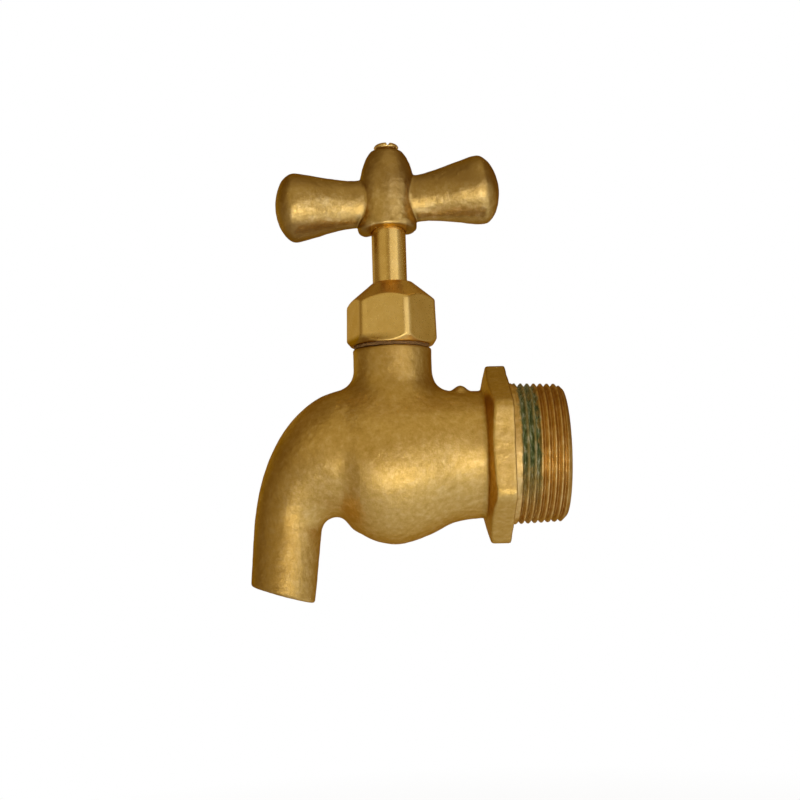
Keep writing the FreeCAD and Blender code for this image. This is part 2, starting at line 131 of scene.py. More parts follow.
# Bonnet
BONNET_ACROSS_FLATS = 19.0
BONNET_TURN = -10.5
BONNET_FOOT_Z = 26.3
BONNET_SHOULDER_Z = 36.2
BONNET_TOP_Z = 41.5
BONNET_TOP_RADIUS = 4.7
BONNET_CONE_SHIFT = 0.6
BONNET_FOOT_RADIUS = 9.7
BONNET_FOOT_STEEPNESS = 1.25
BONNET_DRAFT = 0.02
BONNET_CORNER = 1.2
BONNET_EDGE = 0.2
BONNET_TOP_EDGE = 0.35
BONNET_BORE_EDGE = 0.25
BONNET_REACH = 11.6
BONNET_STEP = 0.2
BONNET_RIPPLES = [(3.0, 0.02, 5)]
SPIGOT_RADIUS = 7.5
SPIGOT_BOTTOM_Z = 15.0
STEM_BORE_RADIUS = 4.18
SEAL_BORE_RADIUS = 5.1
SEAL_BORE_ROOF = 2.5
THREAD_BORE_RADIUS = 5.63
THREAD_BORE_DEPTH = 11.0
# How far a bore's cutter stands out of what it cuts
CUT_BEYOND = 2.0

# Handle
HANDLE_Z = 61.2
INLET_ARM_RISE = 6.55
SPOUT_ARM_RISE = -2.25
ARM_ROOT_RADIUS = 5.65
ARM_NECK = 9.0
ARM_FLARE = 9.0
ARM_END_RADIUS = 8.35
ARM_FLARE_LENGTH = 22.2
ARM_LINE = [
    (-1.0, ARM_ROOT_RADIUS), (6.0, ARM_ROOT_RADIUS), (ARM_NECK, 5.72),
    (15.5, 6.85), (ARM_FLARE_LENGTH, ARM_END_RADIUS), (30.0, 9.6),
]
ARM_DOME = 4.7
ARM_DOME_MARGIN = 0.15
ARM_RIM = 0.7
ARM_CREASE = 0.5
ARM_ROOT_SLIM = 1.45
ARM_SLIM_LENGTH = 17.0
HUB_RADIUS = 6.7
HUB_BOTTOM_Z = 54.4
HUB_SHOULDER_Z = 64.0
HUB_TOP_Z = 75.44
HUB_FLAT_Z = 73.64
HUB_FLAT_EDGE = 0.5
HUB_EDGE = 0.8
# Lumps left on the underside of the hub: side, height above it and radius
HUB_LUMPS = [(-5.3, 0.5, 1.6), (4.6, 0.9, 1.3)]
HUB_LUMP_STRETCH = 2.6
HUB_LUMP_BLEND = 1.8
SOCKET_DEPTH = 15.6
HANDLE_BORE_EDGE = 0.3
HANDLE_STEP = 0.27
HANDLE_RIPPLES = [(5.0, 0.08, 11), (1.8, 0.05, 12), (0.8, 0.03, 13)]

# Handle screw
SCREW_HEAD_RADIUS = 3.1
SCREW_HEAD_HEIGHT = 1.8
SCREW_HEAD_EDGE = 1.7
SCREW_SEAT_Z = HUB_TOP_Z - SCREW_HEAD_HEIGHT
SCREW_SHANK_RADIUS = 2.0
SCREW_SHANK_LENGTH = 12
SCREW_SHANK_TOP = 1.2
SCREW_GAP = 0.08
SCREW_SLOT = 0.9
SCREW_SLOT_DEPTH = 0.9
SCREW_SLOT_TURN = 12.0
SCREW_SLOT_EDGE = 0.12
SCREW_REACH = 3.6
SCREW_STEP = 0.11

# Meshing, in mm
SLOPE_REACH = 0.03
LEAST_SLOPE = 0.2
SETTLE_STEPS = 3
HOLLOW_REACH = 1.6
EDGE_REACH = 0.8
NOISE_TABLE_SIZE = 4099
NOISE_STRIDES = (7919, 104729, 1299709)


def union(first, second, width):
    """Joins two fields with a concave blend about width across."""
    share = np.clip(0.5 + 0.5 * (second - first) / width, 0, 1)
    return second * (1 - share) + first * share - width * share * (1 - share)


def overlap(first, second, width):
    """Keeps what is inside both fields, with the edge between them rounded."""
    return -union(-first, -second, width)


def carve(first, second, width):
    return overlap(first, -second, width)


def slab(value, low, high):
    return np.maximum(low - value, value - high)


def eased(share):
    """Smooth step: 0 to 1 with no slope at either end."""
    return share * share * (3 - 2 * share)


def smooth_line(points):
    """Smooth curve through a few points, as a function of the first coordinate."""
    places, values = (np.array(column) for column in zip(*points))
    slopes = np.gradient(values, places)

    def at(place):
        index = np.clip(np.searchsorted(places, place) - 1, 0, len(places) - 2)
        span = places[index + 1] - places[index]
        t = np.clip((place - places[index]) / span, 0, 1)
        ease = eased(t)
        start = slopes[index] * span * t * (1 - t) ** 2
        end = slopes[index + 1] * span * t * t * (1 - t)
        return values[index] * (1 - ease) + values[index + 1] * ease + start - end

    return at


def lattice_noise(points, size, seed):
    """Smooth noise from -1 to 1 whose bumps are about size across."""
    table = np.random.default_rng(seed).uniform(-1, 1, NOISE_TABLE_SIZE)
    cell = np.floor(points / size).astype(np.int64)
    ease = eased(points / size - cell)
    total = np.zeros(len(points))
    for corner in itertools.product((0, 1), repeat=3):
        key = (cell + corner) @ np.array(NOISE_STRIDES) % len(table)
        total += table[key] * np.prod(np.where(corner, ease, 1 - ease), axis=1)
    return total


def gradient(field, points):
    slopes = []
    for axis in np.eye(3) * SLOPE_REACH:
        slopes.append(field(*(points + axis).T) - field(*(points - axis).T))
    return np.stack(slopes, axis=1) / (2 * SLOPE_REACH)


def surface_net(field, low, high, step):
    """Quad mesh of the surface where field is zero. Returns its points and faces."""
    axes = [np.arange(start, end + step, step) for start, end in zip(low, high)]
    values = np.broadcast_to(
        field(*np.meshgrid(*axes, indexing="ij", sparse=True)), [len(axis) for axis in axes]
    )
    inside = values < 0
    corners = list(itertools.product((0, 1), repeat=3))
    shape = [size - 1 for size in inside.shape]
    count = np.zeros(shape, np.int8)
    for i, j, k in corners:
        count += inside[i:i + shape[0], j:j + shape[1], k:k + shape[2]]
    cells = np.argwhere((count > 0) & (count < 8))
    number = np.full(shape, -1)
    number[tuple(cells.T)] = np.arange(len(cells))
    points = np.array(low) + (cells + mean_crossing(values, cells, corners)) * step
    points = settled(field, points, step)
    return points, np.concatenate([net_faces(inside, number, axis) for axis in range(3)])


def mean_crossing(values, cells, corners):
    """Middle, in each cell, of the places where the surface crosses the cell's edges."""
    total = np.zeros((len(cells), 3))
    hits = np.zeros(len(cells))
    for first, second in itertools.combinations(corners, 2):
        if sum(abs(a - b) for a, b in zip(first, second)) > 1:
            continue
        near = values[tuple((cells + first).T)]
        far = values[tuple((cells + second).T)]
        crossed = (near < 0) != (far < 0)
        share = np.where(crossed, near / np.where(crossed, near - far, 1), 0)
        place = np.array(first) + share[:, None] * (np.array(second) - np.array(first))
        total += place * crossed[:, None]
        hits += crossed
    return total / hits[:, None]


def settled(field, points, step):
    """Points moved along the slope of the field until they lie on its surface."""
    for _ in range(SETTLE_STEPS):
        slope = gradient(field, points)
        size = np.maximum((slope ** 2).sum(axis=1), LEAST_SLOPE)
        move = slope * (field(*points.T) / size)[:, None]
        points = points - np.clip(move, -step / 2, step / 2)
    return points


def net_faces(inside, number, axis):
    """Quads round every grid edge along axis whose two ends differ."""
    order = [axis, (axis + 1) % 3, (axis + 2) % 3]
    inside = inside.transpose(order)
    number = number.transpose(order)
    changed = inside[:-1, 1:-1, 1:-1] != inside[1:, 1:-1, 1:-1]
    i, j, k = np.nonzero(changed)
    ring = [number[i, j + a, k + b] for a, b in ((0, 0), (1, 0), (1, 1), (0, 1))]
    faces = np.stack(ring, axis=1)
    outward = inside[i, j + 1, k + 1]
    return np.where(outward[:, None], faces, faces[:, ::-1])


def make_piece(name, points, faces, attributes):
    """Smooth-shaded mesh from points in mm, with one value per point for each attribute."""
    mesh = bpy.data.meshes.new(name)
    mesh.from_pydata((points * MM).tolist(), [], faces.tolist())
    mesh.polygons.foreach_set("use_smooth", [True] * len(mesh.polygons))
    for label, values in attributes.items():
        layer = mesh.attributes.new(label, "FLOAT", "POINT")
        layer.data.foreach_set("value", values.astype(np.float32))
    mesh.update()
    piece = bpy.data.objects.new(name, mesh)
    bpy.context.scene.collection.objects.link(piece)
    return piece


def hollow_share(field, points, normals):
    """0 on open skin, towards 1 where the surface closes in, as in a corner."""
    room = field(*(points + normals * HOLLOW_REACH).T)
    return np.clip(1 - room / HOLLOW_REACH, 0, 1)


def edge_share(field, points, normals):
    """0 on flat skin, towards 1 along a convex edge."""
    depth = -field(*(points - normals * EDGE_REACH).T)
    return np.clip(1 - depth / EDGE_REACH, 0, 1)


def formed_piece(name, field, low, high, step, ripples=()):
    """Piece from a field, with ripples of the skin given as (bump size, height, seed)."""
    points, faces = surface_net(field, low, high, step)
    slope = gradient(field, points)
    normals = slope / np.linalg.norm(slope, axis=1, keepdims=True)
    attributes = {
        "hollow": hollow_share(field, points, normals),
        "edge": edge_share(field, points, normals),
    }
    for size, height, seed in ripples:
        points = points + normals * (height * lattice_noise(points, size, seed))[:, None]
    return make_piece(name, points, faces, attributes)


def round_stem(x, y):
    """Distance from the middle line of the stem."""
    return np.hypot(x - STEM_X, y)


# Casting


def elbow_length(line_x, line_z):
    """Way from the crotch to the outer curve of the elbow along a unit direction."""
    start_x, start_z = CROTCH_X - ELBOW_X, CROTCH_Z - ELBOW_Z
    square = (line_x / ELBOW_REACH) ** 2 + (line_z / ELBOW_RISE) ** 2
    cross = start_x * line_x / ELBOW_REACH ** 2 + start_z * line_z / ELBOW_RISE ** 2
    rest = (start_x / ELBOW_REACH) ** 2 + (start_z / ELBOW_RISE) ** 2 - 1
    return (np.sqrt(cross ** 2 - square * rest) - cross) / square


def spout_part(x, y, z):
    """Straight spout below the elbow, tapering to the mouth."""
    turn = math.radians(90 - SPOUT_LEAN)
    line_x, line_z = -math.sin(turn), math.cos(turn)
    way_x, way_z = -math.cos(turn), -math.sin(turn)
    length = elbow_length(line_x, line_z)
    middle = (CROTCH_RADIUS + length) / 2
    centre_x, centre_z = CROTCH_X + line_x * middle, CROTCH_Z + line_z * middle
    start_radius = (length - CROTCH_RADIUS) / 2
    along = (x - centre_x) * way_x + (z - centre_z) * way_z
    across = (x - centre_x) * line_x + (z - centre_z) * line_z
    whole = (MOUTH_X - centre_x) * way_x + (MOUTH_Z - centre_z) * way_z
    radius = start_radius + (MOUTH_RADIUS - start_radius) * np.clip(along / whole, 0, TAPER_END)
    return np.hypot(across, y) - radius


def elbow_part(x, y, z):
    """Elbow, whose sections all stand on lines through the crotch."""
    reach = np.maximum(np.hypot(x - CROTCH_X, z - CROTCH_Z), 1e-6)
    length = elbow_length((x - CROTCH_X) / reach, (z - CROTCH_Z) / reach)
    return np.hypot(reach - (CROTCH_RADIUS + length) / 2, y) - (length - CROTCH_RADIUS) / 2


trunk_top = smooth_line(TOP_LINE)
trunk_bottom = smooth_line(BOTTOM_LINE)


def trunk_part(x, y, z):
    """Tube and globe, round in section between the top and the bottom line."""
    top, bottom = trunk_top(x), trunk_bottom(x)
    return np.hypot(z - (top + bottom) / 2, y) - (top - bottom) / 2


def swept_form(x, y, z):
    """Outside of tube, globe, elbow and spout, with a soft seam where the elbow starts."""
    turn = np.degrees(np.arctan2(CROTCH_X - x, z - CROTCH_Z))
    bent = np.where(turn < 90 - SPOUT_LEAN, elbow_part(x, y, z), spout_part(x, y, z))
    below = np.where(x > CROTCH_X, (CROTCH_Z + 1 - z) / SEAM_DEPTH, 0)
    share = eased(np.clip(np.maximum((x - CROTCH_X) / SEAM_WIDTH, below), 0, 1))
    return share * trunk_part(x, y, z) + (1 - share) * bent


def mouth_plane(x, z):
    slope = math.radians(MOUTH_SLOPE)
    return -(x - MOUTH_X) * math.sin(slope) - (z - MOUTH_Z) * math.cos(slope)


def neck_part(x, y, z):
    return overlap(round_stem(x, y) - NECK_RADIUS, slab(z, 0, NECK_TOP_Z), SKIN_EDGE)


def hexagon_field(across, along, half, corner):
    """Distance to a hexagon whose rounded corners point along the second direction."""
    first = np.abs(across) - half
    second = np.abs(across / 2 + along * math.sqrt(3) / 2) - half
    third = np.abs(across / 2 - along * math.sqrt(3) / 2) - half
    return overlap(overlap(first, second, corner), third, corner)


def flange_part(x, y, z):
    """Hexagon with turned corners, whose back runs out in a cone towards the tube."""
    radius = np.hypot(y, z)
    inward = (FLANGE_TURNED_RADIUS - radius) / (FLANGE_TURNED_RADIUS - TUBE_RADIUS)
    back = FLANGE_THICKNESS + FLANGE_CONE * inward
    hexagon = hexagon_field(y, z, FLANGE_ACROSS_FLATS / 2, FLANGE_EDGE)
    form = overlap(hexagon, np.maximum(-back - x, x), FLANGE_EDGE)
    return overlap(form, radius - FLANGE_TURNED_RADIUS, FLANGE_EDGE)


def water_ways(x, y, z):
    """All the hollow of the casting: inlet, bowl, orifice, upper chamber, neck bore and spout."""
    inlet = np.maximum(np.hypot(y, z) - BORE_RADIUS, STEM_X + CHAMBER_RADIUS + CHAMBER_WALL - x)
    bowl = np.sqrt((x - STEM_X) ** 2 + y * y + (z - BOWL_Z) ** 2) - BOWL_RADIUS
    passage = np.maximum(np.hypot(y, z) - BORE_RADIUS, slab(x, STEM_X, PASSAGE_END_X))
    lower = overlap(np.minimum(bowl, passage), z - BRIDGE_BOTTOM_Z, BRIDGE_EDGE)
    orifice = np.maximum(round_stem(x, y) - ORIFICE_RADIUS, slab(z, BRIDGE_BOTTOM_Z - 1, SEAT_Z + 1))
    chamber = np.maximum(
        round_stem(x, y) - CHAMBER_RADIUS, slab(z, SEAT_Z - SEAT_HEIGHT, CHAMBER_TOP_Z)
    )
    seat = np.maximum(round_stem(x, y) - SEAT_RADIUS, z - SEAT_Z)
    neck = np.maximum(round_stem(x, y) - NECK_BORE_RADIUS, SEAT_Z - z)
    wall = SPOUT_WALL + (x - SPOUT_WALL_X) * SPOUT_WALL_GROWTH
    wall = np.clip(wall, SPOUT_WALL_LEAST, SPOUT_WALL_MOST)
    spout = overlap(swept_form(x, y, z) + wall, x - STEM_X, SPOUT_WAY_EDGE)
    upper = np.minimum(carve(np.minimum(chamber, spout), seat, SEAT_EDGE), neck)
    return np.minimum(np.minimum(inlet, lower), np.minimum(upper, orifice))


def casting_field(x, y, z):
    skin = overlap(swept_form(x, y, z), x - TUBE_END_X, SKIN_EDGE)
    skin = overlap(skin, mouth_plane(x, z), MOUTH_EDGE)
    skin = union(skin, neck_part(x, y, z), NECK_BLEND)
    skin = overlap(skin, z - NECK_TOP_Z, NECK_EDGE)
    skin = union(skin, flange_part(x, y, z), FLANGE_BLEND)
    lump_x, lump_y, lump_z = CAST_LUMP
    lump = np.sqrt((x - lump_x) ** 2 + (y - lump_y) ** 2 + (z - lump_z) ** 2) - CAST_LUMP_RADIUS
    skin = union(skin, lump, CAST_LUMP_BLEND)
    return carve(skin, water_ways(x, y, z), WATER_EDGE)


def casting():
    low, high = (-62.5, -19.6, -36.0), (1.4, 19.6, 27.0)
    return formed_piece("body_casting", casting_field, low, high, SKIN_STEP, CASTING_RIPPLES)


# Inlet thread


def thread_height(x, angle):
    """Radius of the threaded shank at a place along it and a turn about it."""
    turn = (x - THREAD_START) / THREAD_PITCH - angle / (2 * math.pi)
    ridge = np.abs(turn - np.round(turn)) * 2
    crest = np.clip(CREST_GAIN * (1 - ridge) - CREST_CUT, 0, 1)
    fade = np.clip((x - THREAD_START + THREAD_RUN_IN / 2) / THREAD_RUN_IN, 0, 1)
    outer = THREAD_RADIUS - THREAD_TAPER * (x - THREAD_START)
    radius = outer - THREAD_DEPTH * (1 - crest) * fade
    lead = THREAD_RADIUS - (x - (THREAD_END - THREAD_CHAMFER))
    return np.minimum(radius, lead)


def inlet_thread():
    """Closed tube with the thread's ridges outside and the plain bore inside."""
    turns = THREAD_TURN_POINTS
    angle = np.linspace(0, 2 * math.pi, turns, endpoint=False)
    place = np.linspace(0, THREAD_END, THREAD_ROWS)
    x, around = np.meshgrid(place, angle, indexing="ij")
    outer = thread_height(x, around)
    inner_x = np.linspace(THREAD_END, 0, BORE_ROWS)[:, None] * np.ones(turns)
    chamfer = np.clip((inner_x - THREAD_END + BORE_CHAMFER) / BORE_CHAMFER, 0, 1)
    inner = BORE_RADIUS + BORE_CHAMFER * chamfer
    long_way = np.concatenate([x, inner_x])
    radius = np.concatenate([outer, inner])
    swing = np.concatenate([around, np.broadcast_to(angle, inner.shape)])
    points = np.stack([long_way, -radius * np.cos(swing), radius * np.sin(swing)], axis=-1)
    count = len(long_way)
    row, column = np.meshgrid(np.arange(count), np.arange(turns), indexing="ij")
    after, beside = (row + 1) % count, (column + 1) % turns
    corners = ((row, column), (after, column), (after, beside), (row, beside))
    faces = np.stack([(a * turns + b).ravel() for a, b in corners], axis=1)
    depth = np.clip((THREAD_RADIUS - radius) / THREAD_DEPTH, 0, 1)
    attributes = {"hollow": depth.ravel(), "edge": (1 - depth).ravel()}
    return make_piece("inlet_thread", points.reshape(-1, 3), faces, attributes)


# Bonnet


def bonnet_head(x, y, z):
    """Hexagon with a little draft, a cone above it and a cone at its foot."""
    turn = math.radians(BONNET_TURN)
    along = (x - STEM_X) * math.cos(turn) + y * math.sin(turn)
    across = -(x - STEM_X) * math.sin(turn) + y * math.cos(turn)
    half = BONNET_ACROSS_FLATS / 2 + BONNET_DRAFT * np.maximum(BONNET_SHOULDER_Z - z, 0)
    head = hexagon_field(across, along, half, BONNET_CORNER)
    corner = BONNET_ACROSS_FLATS / math.sqrt(3)
    rise = BONNET_TOP_Z - BONNET_SHOULDER_Z
    run = corner - BONNET_TOP_RADIUS
    off_centre = np.hypot(x - STEM_X - BONNET_CONE_SHIFT, y)
    cone = (off_centre - corner) * rise + (z - BONNET_SHOULDER_Z) * run
    head = overlap(head, cone / math.hypot(rise, run), BONNET_TOP_EDGE)
    steep = BONNET_FOOT_STEEPNESS
    foot = (round_stem(x, y) - BONNET_FOOT_RADIUS) * steep - (z - BONNET_FOOT_Z)
    head = overlap(head, foot / math.hypot(steep, 1), BONNET_EDGE)
    return overlap(head, slab(z, BONNET_FOOT_Z, BONNET_TOP_Z), BONNET_EDGE)


def bonnet_bore(x, y, z):
    """Stem bore, the wider bore of the seal rings and the widest one of the spindle thread."""
    bottom = SPIGOT_BOTTOM_Z - CUT_BEYOND
    bores = [
        (STEM_BORE_RADIUS, BONNET_TOP_Z + CUT_BEYOND),
        (SEAL_BORE_RADIUS, BONNET_TOP_Z - SEAL_BORE_ROOF),
        (THREAD_BORE_RADIUS, SPIGOT_BOTTOM_Z + THREAD_BORE_DEPTH),
    ]
    radius = round_stem(x, y)
    return np.minimum.reduce([np.maximum(radius - size, slab(z, bottom, top)) for size, top in bores])


def bonnet_field(x, y, z):
    spigot = slab(z, SPIGOT_BOTTOM_Z, BONNET_FOOT_Z + 1)
    spigot = np.maximum(round_stem(x, y) - SPIGOT_RADIUS, spigot)
    solid = np.minimum(bonnet_head(x, y, z), spigot)
    return carve(solid, bonnet_bore(x, y, z), BONNET_BORE_EDGE)


def bonnet():
    low = (STEM_X - BONNET_REACH, -BONNET_REACH, SPIGOT_BOTTOM_Z - 0.6)
    high = (STEM_X + BONNET_REACH, BONNET_REACH, BONNET_TOP_Z + 0.7)
    return formed_piece("bonnet_hexagon", bonnet_field, low, high, BONNET_STEP, BONNET_RIPPLES)


# Handle


arm_radius = smooth_line(ARM_LINE)


def arm_part(x, y, z, way, rise):
    """Flared arm with a domed end, towards +X or -X as way is 1 or -1, sloping up by rise."""
    rise = math.radians(rise)
    flat = (x - STEM_X) * way
    up = z - HANDLE_Z
    along = flat * math.cos(rise) + up * math.sin(rise)
    lift = -flat * math.sin(rise) + up * math.cos(rise)
    slim = ARM_ROOT_SLIM + (1 - ARM_ROOT_SLIM) * np.clip(along / ARM_SLIM_LENGTH, 0, 1)
    radius = np.hypot(y * slim, lift)
    flare = (radius - arm_radius(along)) * math.cos(math.radians(ARM_FLARE))
    beyond = np.maximum(along - ARM_FLARE_LENGTH + ARM_RIM, 0) / (ARM_DOME + ARM_RIM)
    aside = radius / (ARM_END_RADIUS + ARM_DOME_MARGIN)
    dome = (np.hypot(beyond, aside) - 1) * ARM_END_RADIUS
    return np.maximum(overlap(flare, dome, ARM_RIM), -along)


def hub_part(x, y, z):
    """Egg-shaped hub, flat on top, with two lumps under it."""
    radius = round_stem(x, y)
    rise = np.maximum(z - HUB_SHOULDER_Z, 0) / (HUB_TOP_Z - HUB_SHOULDER_Z)
    oval = np.sqrt((radius / HUB_RADIUS) ** 2 + rise ** 2)
    form = overlap((oval - 1) * HUB_RADIUS, z - HUB_FLAT_Z, HUB_FLAT_EDGE)
    form = overlap(form, HUB_BOTTOM_Z - z, HUB_EDGE)
    for side, above, size in HUB_LUMPS:
        flat = (x - STEM_X - side) ** 2 + (y / HUB_LUMP_STRETCH) ** 2
        lump = np.sqrt(flat + (z - HUB_BOTTOM_Z - above) ** 2) - size
        form = union(form, lump, HUB_LUMP_BLEND)
    return form


def handle_field(x, y, z):
    """Hub and both arms, with the socket of the stem, the screw's seat and its hole."""
    form = hub_part(x, y, z)
    for way, rise in ((1, INLET_ARM_RISE), (-1, SPOUT_ARM_RISE)):
        form = union(form, arm_part(x, y, z, way, rise), ARM_CREASE)
    radius = round_stem(x, y)
    socket = np.maximum(radius - STEM_BORE_RADIUS, z - (HUB_BOTTOM_Z + SOCKET_DEPTH))
    seat = np.maximum(radius - SCREW_HEAD_RADIUS - SCREW_GAP, SCREW_SEAT_Z - z)
    through = radius - (SCREW_SHANK_RADIUS + SCREW_GAP)
    return carve(form, np.minimum(np.minimum(socket, seat), through), HANDLE_BORE_EDGE)


def handle():
    low, high = (STEM_X - 28.2, -9.2, 50.0), (STEM_X + 28.2, 9.2, 77.0)
    return formed_piece("cross_bar", handle_field, low, high, HANDLE_STEP, HANDLE_RIPPLES)


# Screw


def screw_field(x, y, z):
    radius = round_stem(x, y)
    head = slab(z, SCREW_SEAT_Z, HUB_TOP_Z)
    head = overlap(radius - SCREW_HEAD_RADIUS, head, SCREW_HEAD_EDGE)
    shank = slab(z, SCREW_SEAT_Z - SCREW_SHANK_LENGTH, HUB_TOP_Z - SCREW_SHANK_TOP)
    shank = np.maximum(radius - SCREW_SHANK_RADIUS, shank)
    turn = math.radians(SCREW_SLOT_TURN)
    across = (x - STEM_X) * math.cos(turn) + y * math.sin(turn)
    slot = np.maximum(np.abs(across) - SCREW_SLOT / 2, HUB_TOP_Z - SCREW_SLOT_DEPTH - z)
    return carve(np.minimum(head, shank), slot, SCREW_SLOT_EDGE)


def screw():
    low = (STEM_X - SCREW_REACH, -SCREW_REACH, HUB_TOP_Z - 14.7)
    high = (STEM_X + SCREW_REACH, SCREW_REACH, HUB_TOP_Z + 0.4)
    return formed_piece("hub_screw", screw_field, low, high, SCREW_STEP)


# Materials

CAST_TONES = ((0.50, 0.31, 0.070), (0.67, 0.460, 0.150), (0.84, 0.64, 0.31))
HANDLE_TONES = ((0.42, 0.265, 0.070), (0.59, 0.41, 0.145), (0.84, 0.66, 0.34))
MACHINED_TONES = ((0.72, 0.50, 0.16), (0.83, 0.60, 0.22), (0.90, 0.68, 0.29))
TURNED_TONES = ((0.64, 0.42, 0.12), (0.76, 0.53, 0.18), (0.85, 0.62, 0.25))
THREAD_TONES = ((0.55, 0.35, 0.11), (0.73, 0.51, 0.20), (0.88, 0.69, 0.34))
# Darker tone of the painted shade in the roots of the thread
THREAD_ROOT_TONE = (0.44, 0.26, 0.075)
STAIN_TONES = ((0.035, 0.065, 0.022), (0.13, 0.17, 0.075), (0.50, 0.53, 0.42))
# Darker tone for tarnished skin and painted shade
TARNISH_AND_SHADE_TONE = (0.35, 0.20, 0.040)
# Darker tone of the painted shade on the handle
HANDLE_SHADE_TONE = (0.35, 0.22, 0.075)
EDGE_TINT = (0.72, 0.47, 0.20)
# Share of the dull tone in the hollows, part patina and part painted shade
HOLLOW_SHADE = 0.55
FIBRE_TONES = ((0.14, 0.075, 0.025), (0.26, 0.15, 0.06))
RUBBER_TONES = ((0.015, 0.015, 0.015), (0.03, 0.03, 0.03))

# Stops of the colour ramps along their noise
MOTTLE_STOPS = (0.2, 0.5, 0.8)
THREAD_STOPS = (0.3, 0.5, 0.7)
STAIN_STOPS = (0.35, 0.52, 0.68)
PLAIN_STOPS = (0.35, 0.65)

# Ranges: where each starts, where it is full and, if not 0 and 1, the shares there
MIDDLE_NOISE = (0.3, 0.7)
HOLLOW_RANGE = (0.12, 0.7, 0, 0.75)
EDGE_RANGE = (0.25, 0.7, 0, 0.6)
THREAD_ROOT_RANGE = (0.35, 0.95, 0, 0.55)
STAIN_HOLLOW_RANGE = (0.1, 0.6, 0.7, 1)
STAIN_NOISE_RANGE = (0.26, 0.42, 0.35, 1)

# Ranges of place on the tap, in mm
# Painted shadow under the hexagon at the joint: across the tap, then its foot and its top in height
JOINT_SHADOW_SIDE = (-25.5, -30.5, 0.1, 0.95)
JOINT_SHADOW_FOOT = (23.9, 25.2)
JOINT_SHADOW_TOP = (28.4, 27.2)
# Tarnished skin and painted shade on the upper casting round the neck and on the outer side of the spout
NECK_TARNISH_AND_SHADE = (8, 17, 0, 0.55)
SPOUT_SIDE_TARNISH_AND_SHADE = (-47, -54)
# Painted shade on the handle: upper side, outer end of the spout-side arm, under the sides of the hub
UPPER_SHADE = (60.5, 64.5, 0, 0.95)
ARM_END_SHADE = (-49, -51.5, 0, 0.9)
HUB_FOOT_SHADE = (56, 54.8)
HUB_FOOT_HALF = 4.2
STAIN_BEGIN = (1.3, 1.9)
STAIN_END = (6.2, 5.6)
STAIN_UPPER = (-13, -3, 0.12, 1)
STAIN_RADIUS = (14.2, 14.8)
STAIN_RAGGED = 0.7

# Least and most share of tarnished skin and painted shade in the patches, and roughness about the value
# of a material
CASTING_PATCHES = (0.45, 0.75)
HANDLE_PATCHES = (0.6, 1)
ROUGH_BELOW, ROUGH_ABOVE = 0.06, 0.08
THREAD_ROUGHNESS = (0.30, 0.45)
STAIN_METALLIC = 0.05

# Bumps of each noise in a metre
PATCH_SCALE = 180
STAIN_PATCH_SCALE = 330
STAIN_LUMP_SCALE = 650
STAIN_STRETCH = (3.0, 1.0, 0.7)
THREAD_MOTTLE_SCALE = 500
THREAD_GRAIN_SCALE = 3000

# Heights of bumps in mm; the coarse ones beside a fine grain are wider and higher by a factor
STAIN_BUMP, THREAD_GRAIN = 0.12, 0.02
COARSE_WIDTH, COARSE_HEIGHT = 2.4, 2.2


def new_material(name):
    material = bpy.data.materials.new(name)
    material.use_nodes = True
    return material, material.node_tree.nodes, material.node_tree.links


def add_noise(nodes, links, place, scale, detail, spread=0.5):
    noise = nodes.new("ShaderNodeTexNoise")
    noise.inputs["Scale"].default_value = scale
    noise.inputs["Detail"].default_value = detail
    noise.inputs["Roughness"].default_value = spread
    links.new(place, noise.inputs["Vector"])
    return noise.outputs["Fac"]


def add_ramp(nodes, links, value, stops, tones):
    ramp = nodes.new("ShaderNodeValToRGB")
    links.new(value, ramp.inputs["Fac"])
    elements = ramp.color_ramp.elements
    while len(elements) < len(stops):
        elements.new(0.5)
    for element, stop, tone in zip(elements, stops, tones):
        element.position = stop
        element.color = (*tone, 1)
    return ramp.outputs["Color"]


def add_range(nodes, links, value, start, full, low=0, high=1):
    """From low where the value is start to high where it is full, level beyond them."""
    node = nodes.new("ShaderNodeMapRange")
    links.new(value, node.inputs["Value"])
    numbers = {"From Min": start, "From Max": full, "To Min": low, "To Max": high}
    for socket, number in numbers.items():
        node.inputs[socket].default_value = number
    return node.outputs["Result"]


def add_fade(nodes, links, value, start, full, low=0, high=1):
    """A range between two places that are given in mm."""
    return add_range(nodes, links, value, start * MM, full * MM, low, high)


def add_mix(nodes, links, share, first, second):
    mix = nodes.new("ShaderNodeMix")
    mix.data_type = "RGBA"
    links.new(share, mix.inputs["Factor"])
    for socket, value in ((6, first), (7, second)):
        if isinstance(value, tuple):
            mix.inputs[socket].default_value = (*value, 1)
        else:
            links.new(value, mix.inputs[socket])
    return mix.outputs[2]


def add_math(nodes, links, operation, *values):
    """Two or more values, each result kept between 0 and 1."""
    result, *others = values
    for other in others:
        node = nodes.new("ShaderNodeMath")
        node.operation = operation
        node.use_clamp = True
        links.new(result, node.inputs[0])
        links.new(other, node.inputs[1])
        result = node.outputs[0]
    return result


def add_vector_math(nodes, links, operation, first, second=None):
    """Outputs of a step on vectors, whose second input is the same everywhere."""
    node = nodes.new("ShaderNodeVectorMath")
    node.operation = operation
    links.new(first, node.inputs[0])
    if second is not None:
        node.inputs[1].default_value = second
    return node.outputs


def add_attribute(nodes, name):
    node = nodes.new("ShaderNodeAttribute")
    node.attribute_name = name
    return node.outputs["Fac"]


def add_bumps(nodes, links, layers):
    """Chained bump nodes, each given as (height value, distance in millimetres)."""
    normal = None
    for height, distance in layers:
        bump = nodes.new("ShaderNodeBump")
        bump.inputs["Distance"].default_value = distance * MM
        links.new(height, bump.inputs["Height"])
        if normal:
            links.new(normal, bump.inputs["Normal"])
        normal = bump.outputs["Normal"]
    return normal


def object_place(nodes):
    return nodes.new("ShaderNodeTexCoord").outputs["Object"]


def split_place(nodes, links, place):
    """The parts of a place along X and along Z."""
    parts = nodes.new("ShaderNodeSeparateXYZ")
    links.new(place, parts.inputs[0])
    return parts.outputs["X"], parts.outputs["Z"]


